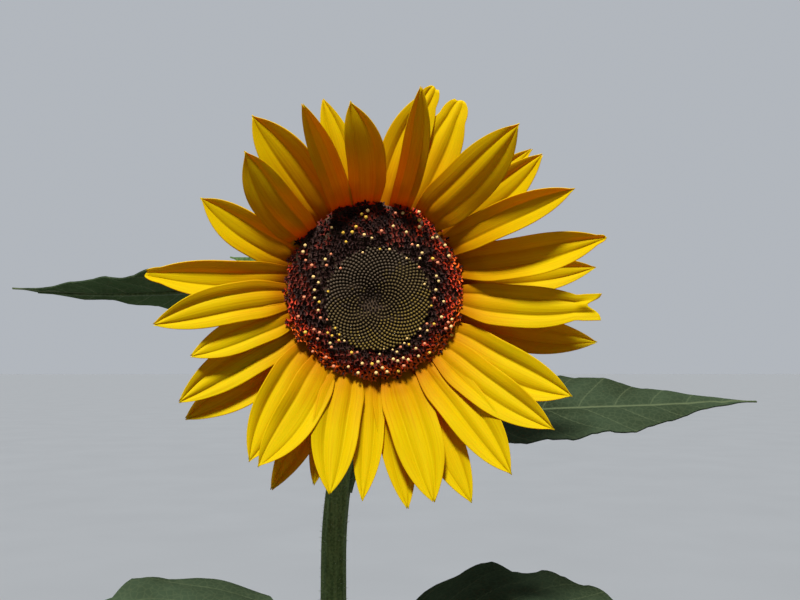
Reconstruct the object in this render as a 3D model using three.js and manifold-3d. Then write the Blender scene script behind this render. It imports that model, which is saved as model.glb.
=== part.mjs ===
// A rooted sunflower plant, about 1.1 m tall. Units are millimetres, +Z is up.
// The origin is the middle of the flat cut under the stem at ground level, and the flower faces -Y.
// The flower head has a frame of its own: +X right, +Y up its face and +Z out of the face.
import * as THREE from "three";
import { mergeVertices } from "three/addons/utils/BufferGeometryUtils.js";
import Module from "manifold-3d";

const wasm = await Module();
wasm.setup();

// Clear space between neighbouring pieces
const GAP = 0.3;

// Stem: its route from the ground to the bend behind the head, and its radii
const STEM_ROUTE = [
  [0, 0, 0],
  [0.5, 0, 30],
  [3, 1, 130],
  [5, 3, 300],
  [1, 8, 500],
  [-5, 13, 700],
  [-7.8, 15, 850],
  [-7.2, 15, 890],
  [-3, 15, 922],
  [3, 13.5, 948],
  [7.5, 9, 974],
  [10.5, 0, 993],
];
const STEM_SIDES = 12;
const STEM_STEPS = 44;
const FOOT_RADIUS = 10.5;
const NECK_RADIUS = 5.5;
const FLARE = 4.5;
const FLARE_HEIGHT = 14;
const STEM_BEND = 0.97;

// Head: its centre, its nod below the horizontal, and the depths of its layers in its own frame
const HEAD_CENTRE = new THREE.Vector3(12, -50, 1000);
const HEAD_NOD = 5.3;
const NECK_DEPTH = -24;
const NECK_STRAIGHT = 9;
const NECK_END_RADIUS = 7.4;
const HUB_SEGMENTS = 32;
const RIM_RADIUS = 34;
const RIM_TOP = 3.2;
const BUD_RADIUS = 26.2;
const BUD_HEIGHT = 6.5;
const BUD_DIMPLE = 1.8;
const EDGE_RADIUS = 22;
const EDGE_ABOVE = -4;
const EDGE_ASIDE = 1.8;
const FLORET_RADIUS = 38;
const FLORET_CROWN = 9.4;
const FLORET_EDGE = 6.1;
const FLORET_TIP = 2.4;
const FLORET_TIP_LENGTH = 5.5;

// Green bracts behind the rays
const BRACTS = 24;
const BRACT_LENGTH = 33;
const BRACT_WIDTH = 11;
const BRACT_THICKNESS = 1;
const BRACT_BACK = -9;
const BRACT_FRONT = -4.8;
const BRACT_RING = 3;

// Ray petals, in layers from 0 in front to 2 at the back: the depth of their roots and their forward lean.
// Above the disc they lean further over it, those in front most of all. A petal bows lengthwise as well.
const FRONT_DEPTH = 1.5;
const LAYER_DEPTH = 2.4;
const FRONT_LEAN = 20;
const LAYER_LEAN = 6;
const UPPER_LEAN = 22;
const ROOT_RADIUS = 33.4;
const ROOT_WIDTH = 8.5;
const ROOT_SPREAD = 0.3;
const ROOT_EASE = 0.2;
const BLUNT_FROM = 0.5;
const ROUND_FROM = 0.86;
const PETAL_TIP = 0.45;
const PETAL_THICKNESS = 0.8;
const PETAL_CUP = 0.2;
const ROOT_DIP = 2.8;
const LOWER_BOW = 0.1;
const UPPER_BOW = 0.45;
const PETAL_ACROSS = 4;
const PETAL_ALONG = 5;
const STATION_BIAS = 1.25;

// One row a petal, clockwise from the top: root angle, tip angle, reach, width, layer and sideways bow
const PETALS = [
  [97, 97, 75.5, 16, 0, 3.5],
  [83, 73.5, 92, 19, 2, -2.5],
  [73, 77, 81, 11, 0, 2.5],
  [67, 65.5, 91, 21, 2, 0],
  [56, 49, 86, 21, 0, 2],
  [48, 42, 91.5, 12, 2, 0.5],
  [43, 39, 89.5, 17, 1, 2.5],
  [32, 27, 89.5, 14, 0, -1],
  [19, 13, 96.5, 17, 0.4, 2],
  [10, 6, 97, 16, 2, 1.5],
  [355, 356, 94, 18, 0, 2],
  [345, 347, 99, 17, 2, 2.5],
  [330, 332, 94, 21, 0.5, 2.5],
  [319, 322.5, 94, 18, 0, 2],
  [306, 307, 95, 20, 0, -1.5],
  [295, 295, 98, 18, 0.8, 0.5],
  [284, 286, 91, 21, 0, -1.5],
  [277, 279, 93, 15, 0.9, -0.5],
  [268, 267, 88, 13, 0.6, -1],
  [251, 258, 86, 20, 0, 1.5],
  [245, 253, 88, 12, 2, 0.5],
  [235, 243, 96, 15, 2, -2.5],
  [234, 237, 87, 18, 0, -2.5],
  [221, 234, 89, 19, 1, 1.3],
  [215, 214.5, 97, 19, 2, -1.5],
  [207, 210, 94, 18, 1.2, 1.5],
  [196, 200, 81, 15, 0.5, 0.5],
  [184, 189, 91, 17, 0, 2.3],
  [171, 176, 94.5, 16, 1, -1.5],
  [158, 152, 81.5, 17, 1, -2],
  [142, 133, 75, 18, 0, -3],
  [123, 125, 87, 20, 1, 1],
  [111, 111, 77.5, 11, 0, 1],
  [107, 105, 85.5, 14, 2, 2],
];

// Petals with a broad blunt tip, by their place in the table, and half the width of that tip
const BLUNT_TIPS = { 1: 5, 3: 6, 8: 2.5, 10: 5.6, 28: 3.5 };

// The upper leaves, one row each: height on the stem, compass direction (0 is +X, 90 is +Y), stalk length
// and rise, blade length and width, slope of the blade at its base and at its tip, fold of its halves, roll
// about its midrib, and heart, which is 1 on a heart-shaped blade and 0 on a lance-shaped one
const TOP_LEAVES = [
  [977, 181, 63, 83, 128, 56, -11, 4, 0, 13, 0.1],
  [904, 3, 62, 75, 174, 68, 4, 0, 0, 25, 0.2],
  [800, 345, 58.5, 60, 156, 108, 28, -54, 7, 3, 0.8],
  [830, 239.5, 48, 58, 180, 103, 9, -35, 10, -4, 0.37],
];
const LOWER_LEAVES = 11;
const LOWER_TOP = 742;
const LOWER_FOOT = 150;
const LOWER_TURN = 84;
const GOLDEN_TURN = 137.5;
const LEAF_ACROSS = 4;
const LEAF_ALONG = 7;
const LEAF_THICKNESS_SHARE = 0.011;
const LOBE_SHARE = 0.13;
const EDGE_WAVE = 0.05;
const EDGE_WAVES = 15;
const STALK_SIDES = 5;
const STALK_STEPS = 7;
const MIDRIB_REACH = 0.32;

// Materials
const STEM_GREEN = new THREE.MeshStandardMaterial({ color: 0x3a4f26, roughness: 0.8, metalness: 0 });
const LEAF_GREEN = new THREE.MeshStandardMaterial({ color: 0x35562f, roughness: 0.75, metalness: 0 });
const BRACT_GREEN = new THREE.MeshStandardMaterial({ color: 0x4a6a30, roughness: 0.8, metalness: 0 });
const PETAL_YELLOW = new THREE.MeshStandardMaterial({ color: 0xeab800, roughness: 0.6, metalness: 0 });
const BUD_OLIVE = new THREE.MeshStandardMaterial({ color: 0x3a3420, roughness: 0.9, metalness: 0 });
const FLORET_MAROON = new THREE.MeshStandardMaterial({ color: 0x4a1812, roughness: 0.85, metalness: 0 });

const radians = THREE.MathUtils.degToRad;
const mix = THREE.MathUtils.lerp;

// A closed geometry as a solid
function solidFrom(geometry) {
  const bare = geometry.clone();
  bare.deleteAttribute("normal");
  bare.deleteAttribute("uv");
  const merged = mergeVertices(bare, 1e-4);
  const vertProperties = merged.attributes.position.array;
  const triVerts = new Uint32Array(merged.index.array);
  return new wasm.Manifold(new wasm.Mesh({ numProp: 3, vertProperties, triVerts }));
}

// A solid as a geometry
function geometryFrom(solid) {
  const mesh = solid.getMesh();
  const geometry = new THREE.BufferGeometry();
  geometry.setAttribute("position", new THREE.BufferAttribute(mesh.vertProperties, 3));
  geometry.setIndex(new THREE.BufferAttribute(mesh.triVerts, 1));
  geometry.computeVertexNormals();
  return geometry;
}

// The largest body of a solid, which drops the scraps that a cut leaves
function largestBody(solid) {
  const bodies = solid.decompose();
  return bodies.reduce((best, body) => (body.volume() > best.volume() ? body : best));
}

// A named mesh, added to its group
function addPiece(group, name, solid, material) {
  const mesh = new THREE.Mesh(geometryFrom(solid), material);
  mesh.name = name;
  group.add(mesh);
}

// A closed skin over rings of points, each ring turning anticlockwise about the way of travel
function loft(rings) {
  const sides = rings[0].length;
  const points = rings.flat();
  const first = points.push(centreOf(rings[0])) - 1;
  const last = points.push(centreOf(rings[rings.length - 1])) - 1;
  const end = (rings.length - 1) * sides;
  const index = [];
  for (let j = 0; j < sides; j++) {
    const k = (j + 1) % sides;
    for (let row = 0; row < end; row += sides) {
      index.push(row + j, row + k, row + sides + k);
      index.push(row + j, row + sides + k, row + sides + j);
    }
    index.push(first, k, j);
    index.push(last, end + j, end + k);
  }
  const geometry = new THREE.BufferGeometry().setFromPoints(points);
  geometry.setIndex(index);
  return geometry;
}

function centreOf(ring) {
  return ring.reduce((sum, point) => sum.add(point), new THREE.Vector3()).divideScalar(ring.length);
}

// A ring of points about a centre, in the plane of two unit vectors
function ringOf(centre, first, second, radius, sides) {
  return Array.from({ length: sides }, (_, i) => {
    const turn = (2 * Math.PI * i) / sides;
    return centre
      .clone()
      .addScaledVector(first, radius * Math.cos(turn))
      .addScaledVector(second, radius * Math.sin(turn));
  });
}

// A thin blade: a slab whose grid is laid on surface(u, v), with u from -1 to 1 across, v from 0 to 1 along
function bladeSolid(across, along, thickness, surface) {
  const slab = new THREE.BoxGeometry(2, 1, 1, across, along, 1);
  slab.translate(0, 0.5, 0);
  const places = slab.attributes.position;
  const small = 1e-3;
  for (let i = 0; i < places.count; i++) {
    const u = places.getX(i);
    const v = places.getY(i);
    const acrossWay = surface(u + small, v).sub(surface(u - small, v));
    const alongWay = surface(u, Math.min(v + small, 1)).sub(surface(u, Math.max(v - small, 0)));
    const normal = acrossWay.cross(alongWay).normalize();
    const place = surface(u, v).addScaledVector(normal, Math.sign(places.getZ(i)) * thickness * 0.5);
    places.setXYZ(i, place.x, place.y, place.z);
  }
  return solidFrom(slab);
}

// A turned solid on the head's axis, from [radius, depth] pairs that run up its outside
function turned(profile, segments) {
  const points = profile.map(([radius, depth]) => new THREE.Vector2(radius, depth));
  const lathe = new THREE.LatheGeometry(points, segments);
  lathe.rotateX(Math.PI / 2);
  return solidFrom(lathe);
}

// The head's group, which places all that is in the head's own frame
function headGroup() {
  const head = new THREE.Group();
  head.position.copy(HEAD_CENTRE);
  head.rotation.x = radians(90 + HEAD_NOD);
  return head;
}

// The stem's route ends square to the back of the head
function stemCurve() {
  const facing = new THREE.Vector3(0, -Math.cos(radians(HEAD_NOD)), -Math.sin(radians(HEAD_NOD)));
  const end = HEAD_CENTRE.clone().addScaledVector(facing, NECK_DEPTH - GAP);
  const before = end.clone().addScaledVector(facing, -NECK_STRAIGHT);
  const points = STEM_ROUTE.map((place) => new THREE.Vector3(...place));
  return { curve: new THREE.CatmullRomCurve3([...points, before, end]), end, facing };
}

function stemRadius(share, height) {
  const taper = mix(FOOT_RADIUS, NECK_RADIUS, Math.pow(share, 0.9));
  const flare = FLARE * Math.exp(-height / FLARE_HEIGHT);
  const throat = (NECK_END_RADIUS - NECK_RADIUS) * THREE.MathUtils.smoothstep(share, 0.96, 1);
  return taper + flare + throat;
}

function stemSolid(grow) {
  const { curve, end, facing } = stemCurve();
  const frames = curve.computeFrenetFrames(STEM_STEPS, false);
  const rings = [];
  for (let i = 0; i <= STEM_STEPS; i++) {
    const share = i / STEM_STEPS;
    const centre = curve.getPointAt(share);
    const radius = stemRadius(share, centre.z) + grow;
    rings.push(ringOf(centre, frames.normals[i], frames.binormals[i], radius, STEM_SIDES));
  }
  rings[0].forEach((point) => point.setZ(0));
  rings[STEM_STEPS].forEach((point) => {
    const off = point.clone().sub(end).dot(facing);
    point.addScaledVector(facing, -off);
  });
  return solidFrom(loft(rings));
}

// The stem's centre and radius at a height below the bend
function stemAt(height) {
  const { curve } = stemCurve();
  let low = 0;
  let high = STEM_BEND;
  for (let i = 0; i < 30; i++) {
    const middle = (low + high) / 2;
    if (curve.getPointAt(middle).z < height) low = middle;
    else high = middle;
  }
  return { centre: curve.getPointAt(low), radius: stemRadius(low, height) };
}

// The receptacle: a green dome from the neck to the rim that carries the rays, flat under the disc
function receptacleSolid() {
  const profile = [
    [0, NECK_DEPTH],
    [NECK_END_RADIUS, NECK_DEPTH],
    [9.5, -20],
    [16, -15.6],
    [25, -12],
    [31.5, -9.2],
    [RIM_RADIUS, -6.6],
    [RIM_RADIUS, RIM_TOP - 1],
    [RIM_RADIUS - 1, RIM_TOP],
    [0, RIM_TOP],
  ];
  return turned(profile, HUB_SEGMENTS);
}

// A round cutter for the edge between buds and open florets, which have opened furthest in above the middle
function edgeCutter(grow) {
  const radius = EDGE_RADIUS + grow;
  const cutter = turned([[0, -20], [radius, -20], [radius, 40], [0, 40]], HUB_SEGMENTS);
  return cutter.translate([EDGE_ASIDE, EDGE_ABOVE, 0]);
}

function edgeAt(turn) {
  return EDGE_RADIUS + EDGE_ASIDE * Math.cos(turn) + EDGE_ABOVE * Math.sin(turn);
}

// The middle of the disc: a low dome of closed buds with a dimple in its centre
function budsSolid() {
  const floor = RIM_TOP + GAP;
  const rows = 5;
  const profile = [
    [0, floor],
    [BUD_RADIUS, floor],
  ];
  for (let i = 0; i <= rows; i++) {
    const share = i / rows;
    const dimple = BUD_DIMPLE * Math.exp(-Math.pow((1 - share) * 4, 2));
    profile.push([BUD_RADIUS * (1 - share), floor + BUD_HEIGHT * (0.8 + 0.2 * share) - dimple]);
  }
  return turned(profile, HUB_SEGMENTS).intersect(edgeCutter(0));
}

// The ring of open florets: a raised rim with rows of pointed tips that lean out as the rows do
function floretsSolid() {
  const floor = RIM_TOP + GAP;
  const profile = [
    [0, floor],
    [RIM_RADIUS - 0.5, floor],
    [FLORET_RADIUS - 1.6, floor + 1.2],
    [FLORET_RADIUS, FLORET_EDGE],
    [FLORET_RADIUS - 4, FLORET_EDGE + 3],
    [FLORET_RADIUS - 7, FLORET_CROWN],
    [0, FLORET_CROWN],
  ];
  let ring = turned(profile, HUB_SEGMENTS).subtract(edgeCutter(GAP));
  const rows = [
    { count: 16, share: 0.14, depth: 7.2, lean: -8 },
    { count: 20, share: 0.42, depth: 7.6, lean: 10 },
    { count: 24, share: 0.74, depth: 6, lean: 24 },
  ];
  rows.forEach((row, n) => {
    for (let i = 0; i < row.count; i++) {
      const turn = (2 * Math.PI * (i + n / 3)) / row.count;
      const tip = new THREE.ConeGeometry(FLORET_TIP / 2, FLORET_TIP_LENGTH, 5);
      tip.rotateX(Math.PI / 2);
      tip.translate(0, 0, FLORET_TIP_LENGTH / 2);
      tip.rotateY(radians(row.lean));
      tip.translate(mix(edgeAt(turn), FLORET_RADIUS, row.share), 0, row.depth);
      tip.rotateZ(turn);
      ring = ring.add(solidFrom(tip));
    }
  });
  return ring;
}

// The bracts: pointed green scales in two rows, fused to a ring round the receptacle
function bractsSolid() {
  const inner = RIM_RADIUS + GAP;
  const ring = [
    [inner, BRACT_BACK + 2.7],
    [inner + BRACT_RING, BRACT_BACK + 2],
    [inner + BRACT_RING, BRACT_FRONT],
    [inner, BRACT_FRONT],
    [inner, BRACT_BACK + 2.7],
  ];
  let solid = turned(ring, HUB_SEGMENTS);
  for (let i = 0; i < BRACTS; i++) {
    const outer = i % 2;
    const lean = outer ? -20 : -6;
    const length = BRACT_LENGTH * (outer ? 0.9 : 1);
    const root = inner + 0.8;
    const depth = outer ? BRACT_FRONT - 1.5 : BRACT_FRONT - 0.9;
    const turn = (2 * Math.PI * i) / BRACTS;
    const surface = (u, v) => {
      const half = (BRACT_WIDTH / 2) * mix(0.8, 1, Math.sin(Math.PI * Math.min(v * 2, 1) * 0.5));
      const wide = Math.max(half * Math.pow(1 - Math.pow(v, 1.8), 0.9), 0.4);
      const out = root + length * v * Math.cos(radians(lean));
      const back = depth + length * v * v * Math.sin(radians(lean));
      const side = new THREE.Vector3(Math.sin(turn), -Math.cos(turn), 0).multiplyScalar(u * wide);
      return side.add(new THREE.Vector3(Math.cos(turn) * out, Math.sin(turn) * out, back));
    };
    solid = solid.add(bladeSolid(2, 3, BRACT_THICKNESS, surface));
  }
  return solid;
}

// The outline of a ray petal: half its width at v, from its narrow root to its pointed or blunt tip
function petalHalf(width, blunt, v) {
  const { smoothstep } = THREE.MathUtils;
  const swell = mix(ROOT_WIDTH / width, 1, smoothstep(v, -0.08, ROOT_SPREAD));
  const point = v < 0.5 ? 1 : Math.pow(1 - Math.pow((v - 0.5) * 2, 2.2), 0.9);
  const rounding = Math.sqrt(1 - 0.8 * Math.pow(Math.max(0, v - ROUND_FROM) / (1 - ROUND_FROM), 2));
  const end = blunt * smoothstep(v, BLUNT_FROM, ROUND_FROM) * rounding;
  return Math.max((width / 2) * swell * point, end, PETAL_TIP);
}

// A ray petal on the line from its root to its tip, cupped across and bent forward along its length
function petalSolid([rootTurn, tipTurn, reach, width, layer, bow], blunt, grow) {
  const root = new THREE.Vector3(Math.cos(radians(rootTurn)), Math.sin(radians(rootTurn)), 0);
  root.multiplyScalar(ROOT_RADIUS - grow);
  const tip = new THREE.Vector3(Math.cos(radians(tipTurn)), Math.sin(radians(tipTurn)), 0);
  tip.multiplyScalar(reach + grow);
  const length = tip.distanceTo(root);
  const way = tip.clone().sub(root).normalize();
  const side = new THREE.Vector3(way.y, -way.x, 0);
  const above = Math.sqrt(Math.max(0, Math.sin(radians(tipTurn))));
  const lean = FRONT_LEAN - LAYER_LEAN * layer + UPPER_LEAN * above * (1 - layer / 2);
  const rise = length * Math.tan(radians(lean));
  const arch = mix(LOWER_BOW, UPPER_BOW, above);
  const rootDepth = FRONT_DEPTH - LAYER_DEPTH * layer - ROOT_DIP * above * (1 - layer / 2);
  const surface = (u, station) => {
    const v = Math.pow(station, STATION_BIAS);
    const half = petalHalf(width, blunt, v) + grow;
    const climb = rise * v * (1 + arch * (1 - v)) * THREE.MathUtils.smoothstep(v, -0.05, ROOT_EASE);
    const depth = rootDepth + climb + PETAL_CUP * half * u * u;
    return root
      .clone()
      .addScaledVector(way, length * v)
      .addScaledVector(side, half * u + bow * Math.sin(Math.PI * v))
      .setZ(depth);
  };
  return bladeSolid(PETAL_ACROSS, PETAL_ALONG, PETAL_THICKNESS + 2 * grow, surface);
}

// The petals, front layer first: each gives way to the hub and to those in front of it, with the gap between
function petalSolids() {
  const order = PETALS.map((petal, i) => i).sort((a, b) => PETALS[a][4] - PETALS[b][4]);
  const hub = [
    [0, BRACT_BACK],
    [RIM_RADIUS + GAP, BRACT_BACK],
    [RIM_RADIUS + GAP, RIM_TOP + 2],
    [0, RIM_TOP + 2],
  ];
  const made = [];
  const clear = [turned(hub, HUB_SEGMENTS)];
  for (const i of order) {
    const blunt = BLUNT_TIPS[i] ?? 0;
    let petal = petalSolid(PETALS[i], blunt, 0);
    for (const other of clear) petal = petal.subtract(other);
    made[i] = largestBody(petal);
    clear.push(petalSolid(PETALS[i], blunt, GAP));
  }
  return made;
}

function topLeaves() {
  return TOP_LEAVES.map(([height, turn, stalk, rise, length, width, from, to, fold, roll, heart]) => {
    return { height, turn, stalk, rise, length, width, from, to, fold, roll, heart };
  });
}

// The lower leaves go down the stem by the golden turn: the largest are below its middle
function lowerLeaves() {
  return Array.from({ length: LOWER_LEAVES }, (_, i) => {
    const share = i / (LOWER_LEAVES - 1);
    const full = Math.sin(Math.PI * mix(0.28, 0.86, share));
    return {
      height: mix(LOWER_TOP, LOWER_FOOT, share),
      turn: LOWER_TURN + GOLDEN_TURN * i,
      stalk: mix(70, 112, full),
      rise: mix(48, 30, share),
      length: mix(150, 214, full),
      width: mix(104, 170, full),
      from: mix(16, 2, share),
      to: mix(-58, -48, share),
      fold: 10,
      roll: i % 2 ? 5 : -5,
      heart: 1,
    };
  });
}

// A leaf's midrib: points and frames from the stem's surface to the joint and on to the tip
function midribOf(leaf) {
  const { centre, radius } = stemAt(leaf.height);
  const turn = radians(leaf.turn);
  const out = new THREE.Vector3(Math.cos(turn), Math.sin(turn), 0);
  const stations = 48;
  const place = centre.clone().addScaledVector(out, radius - 1.5);
  const line = [];
  const total = leaf.stalk + leaf.length;
  for (let i = 0; i <= stations; i++) {
    const along = (total * i) / stations;
    const blade = Math.max(0, (along - leaf.stalk) / leaf.length);
    const slope = mix(leaf.rise, leaf.from, Math.min(1, along / leaf.stalk));
    const bent = radians(blade > 0 ? mix(leaf.from, leaf.to, Math.pow(blade, 0.8)) : slope);
    const way = out.clone().multiplyScalar(Math.cos(bent));
    way.z = Math.sin(bent);
    const side = new THREE.Vector3(Math.sin(turn), -Math.cos(turn), 0);
    side.applyAxisAngle(way, radians(leaf.roll) * Math.min(1, along / leaf.stalk));
    const up = side.clone().cross(way);
    line.push({ along, place: place.clone(), way, side, up });
    place.addScaledVector(way, total / stations);
  }
  return line;
}

// The midrib's place and frame at a distance from the stem
function onMidrib(line, along) {
  const step = line[1].along;
  const i = Math.min(Math.floor(along / step), line.length - 2);
  const share = along / step - i;
  const [from, to] = [line[i], line[i + 1]];
  const between = (key) => from[key].clone().lerp(to[key], share);
  return { place: between("place"), way: between("way"), side: between("side"), up: between("up") };
}

// The outline of a leaf: half its width at v, broad at the base on a heart and narrow on a lance
function leafHalf(leaf, v) {
  const widest = mix(0.36, 0.24, leaf.heart);
  const base = mix(0.1, 0.6, leaf.heart);
  const swell = mix(base, 1, Math.sin(Math.PI * 0.5 * Math.min(1, v / widest)));
  const past = Math.max(0, (v - widest) / (1 - widest));
  const point = Math.pow(Math.cos(Math.PI * 0.5 * past), 1.6);
  return Math.max((leaf.width / 2) * swell * point, 0.8);
}

// A leaf: a stalk that runs on under the blade as its midrib, and a folded blade with a wavy edge
function leafSolid(leaf, line, clearStem) {
  const thickness = leaf.length * LEAF_THICKNESS_SHARE;
  const lobe = leaf.length * LOBE_SHARE * leaf.heart;
  const surface = (u, v) => {
    const at = onMidrib(line, leaf.stalk + leaf.length * v);
    const half = leafHalf(leaf, v);
    const fold = radians(leaf.fold);
    const wave = EDGE_WAVE * half * u * u * Math.sin(v * EDGE_WAVES + (u > 0 ? 1.4 : 0) + leaf.turn);
    return at.place
      .addScaledVector(at.side, half * u * Math.cos(fold))
      .addScaledVector(at.up, half * Math.abs(u) * Math.sin(fold) + wave)
      .addScaledVector(at.way, -lobe * u * u * Math.pow(1 - v, 4));
  };
  const blade = bladeSolid(LEAF_ACROSS, LEAF_ALONG, thickness, surface);
  const rings = [];
  const end = leaf.stalk + leaf.length * MIDRIB_REACH;
  for (let i = 0; i <= STALK_STEPS; i++) {
    const share = i / STALK_STEPS;
    const at = onMidrib(line, end * share);
    const radius = mix(leaf.width * 0.009 + 2.1, 0.9, share);
    const drop = radius * 0.7 * THREE.MathUtils.smoothstep(share, 0, 0.4);
    const centre = at.place.addScaledVector(at.up, -drop);
    rings.push(ringOf(centre, at.up, at.side, radius, STALK_SIDES));
  }
  const stalk = solidFrom(loft(rings));
  return largestBody(blade.add(stalk).subtract(clearStem));
}

const plant = new THREE.Group();
addPiece(plant, "stem", stemSolid(0), STEM_GREEN);

const clearStem = stemSolid(GAP);
[...topLeaves(), ...lowerLeaves()].forEach((leaf, i) => {
  const name = "leaf_" + String(i + 1).padStart(2, "0");
  addPiece(plant, name, leafSolid(leaf, midribOf(leaf), clearStem), LEAF_GREEN);
});

const head = headGroup();
addPiece(head, "receptacle", receptacleSolid(), BRACT_GREEN);
addPiece(head, "bracts", bractsSolid(), BRACT_GREEN);
addPiece(head, "disc_buds", budsSolid(), BUD_OLIVE);
addPiece(head, "disc_florets", floretsSolid(), FLORET_MAROON);
petalSolids().forEach((petal, i) => {
  addPiece(head, "ray_petal_" + String(i + 1).padStart(2, "0"), petal, PETAL_YELLOW);
});
plant.add(head);

export default plant;
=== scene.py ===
"""A rooted sunflower plant in flower, modelled around its fixed frame.

Lengths in the tables are millimetres and angles are degrees, as in the plant's source.
The flower head has a frame of its own: x to the right, y up its face and z out of the face.
"""

import math
import random

import bpy
import numpy as np
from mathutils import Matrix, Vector


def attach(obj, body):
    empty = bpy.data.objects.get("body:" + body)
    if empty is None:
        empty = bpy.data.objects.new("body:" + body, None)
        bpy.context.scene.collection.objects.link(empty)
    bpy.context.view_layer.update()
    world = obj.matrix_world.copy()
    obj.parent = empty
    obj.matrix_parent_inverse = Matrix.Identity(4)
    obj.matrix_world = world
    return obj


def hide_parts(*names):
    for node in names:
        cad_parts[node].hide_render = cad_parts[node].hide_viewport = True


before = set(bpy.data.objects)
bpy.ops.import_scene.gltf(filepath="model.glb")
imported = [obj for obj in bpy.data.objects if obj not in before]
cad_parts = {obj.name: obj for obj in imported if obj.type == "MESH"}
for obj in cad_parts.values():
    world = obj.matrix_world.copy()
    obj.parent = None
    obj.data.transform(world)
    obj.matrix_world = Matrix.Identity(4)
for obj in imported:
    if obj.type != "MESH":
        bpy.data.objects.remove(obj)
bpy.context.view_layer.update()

MM = 0.001
MERGE = 1e-6
random.seed(7)

# Head: its centre, its nod below the horizontal, and the depths and radii of its layers
HEAD_CENTRE = np.array([12.0, -50.0, 1000.0])
HEAD_NOD = math.radians(5.3)
HEAD_RIGHT = np.array([1.0, 0.0, 0.0])
HEAD_UP = np.array([0.0, -math.sin(HEAD_NOD), math.cos(HEAD_NOD)])
HEAD_FACING = np.array([0.0, -math.cos(HEAD_NOD), -math.sin(HEAD_NOD)])
NECK_DEPTH = -24
NECK_STRAIGHT = 9
NECK_END_RADIUS = 7.4
RIM_RADIUS = 34
RIM_TOP = 3.2
BUD_RADIUS = 26.2
BUD_HEIGHT = 6.5
FLORET_RADIUS = 38
GAP = 0.3
DISC_FLOOR = RIM_TOP + GAP
SPIN_STEPS = 64
GOLDEN_TURN = 137.508

# Stem: its route from the ground to the bend behind the head, and its radii. Its mesh starts below the
# ground, where it is cut off, and runs on into the head. No limb runs along the askew direction
STEM_ROUTE = [
    (0, 0, 0),
    (0.5, 0, 30),
    (3, 1, 130),
    (5, 3, 300),
    (1, 8, 500),
    (-5, 13, 700),
    (-7.8, 15, 850),
    (-7.2, 15, 890),
    (-3, 15, 922),
    (3, 13.5, 948),
    (7.5, 9, 974),
    (10.5, 0, 993),
]
FOOT_RADIUS = 10.5
NECK_RADIUS = 5.5
FLARE = 4.5
FLARE_HEIGHT = 14
TAPER_EASE = 0.9
NECK_FROM = 0.96
ROUTE_SAMPLES = 40
STEM_STATIONS = 150
STEM_RIDGES = 9
SIDES_A_RIDGE = 5
RIDGE_DEPTH = 0.05
BELOW_GROUND = 4
INTO_HEAD = 3
ASKEW = np.array([0.31, 0.95, 0.05])

# Bristles on the stem and the stalks
BRISTLES_ON_STEM = 2600
BRISTLES_ON_STALK = 90
BRISTLE_LENGTH = 1.5
BRISTLE_WIDTH = 0.11
BRISTLE_SIZES = (0.6, 1.2)
BRISTLE_LEANS = (-0.1, 0.7)
BRISTLE_SEAT = 0.97

# Ray petals, in layers from 0 in front to 2 at the back: the depth of their roots and their forward lean.
# Those that point up sit deeper, lean and bow further forward, and their orange root colour is stretched
# further out, as painted shade
FRONT_DEPTH = 1.5
LAYER_DEPTH = 2.4
FRONT_LEAN = 20
LAYER_LEAN = 6
UPPER_LEAN = 22
ROOT_RADIUS = 33.4
ROOT_WIDTH = 8.5
ROOT_SPREAD = 0.3
ROOT_EASE = 0.2
ROOT_CUP = 0.06
OVERLAP_TILT = math.tan(math.radians(7))
PAINTED_SHADE_REACH = 0.35
ROOT_DIP = 2.8
LOWER_BOW = 0.1
UPPER_BOW = 0.45
PETAL_TIP = 0.35
PETAL_THICKNESS = 0.3
PETAL_ACROSS = 36
PETAL_ALONG = 44
TWIST_FROM = 0.35
TWIST_SPREAD = 0.6

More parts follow.
